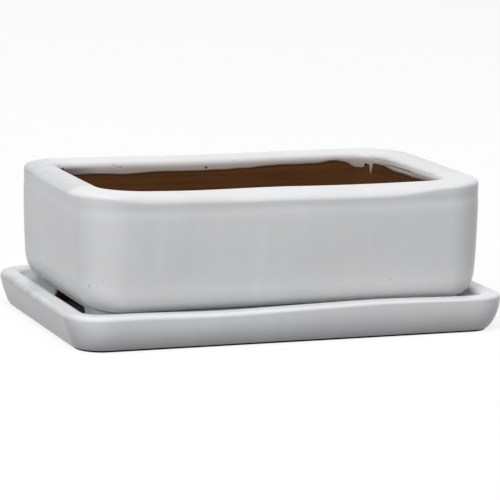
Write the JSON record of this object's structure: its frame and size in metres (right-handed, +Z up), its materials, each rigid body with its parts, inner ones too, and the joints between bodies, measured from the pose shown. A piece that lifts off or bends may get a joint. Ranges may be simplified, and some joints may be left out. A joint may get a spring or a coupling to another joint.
{
  "type": "rectangular bonsai pot",
  "caption": "Rectangular glazed stoneware bonsai pot on bracket feet, standing in its matching drip saucer.",
  "frame": {"origin": "middle of the saucer's base, on the surface that it stands on", "axes": "+X along the long side, +Y towards the back, +Z up; the pictured front faces -Y"},
  "size_m": [0.277, 0.176, 0.0906],
  "materials": {
    "white_glaze": "gloss",
    "bare_clay": "matt, unglazed"
  },
  "bodies": {
    "saucer": {"saucer": "white_glaze"},
    "pot": {"pot_body": "white_glaze", "foot_front_left": "white_glaze", "foot_front_right": "white_glaze", "foot_back_left": "white_glaze", "foot_back_right": "white_glaze"}
  },
  "joints": [
    {"name": "pot_lift", "type": "slide", "parent": "saucer", "child": "pot", "axis": [0, 0, 1], "range_m": [0, 0.1]}
  ]
}
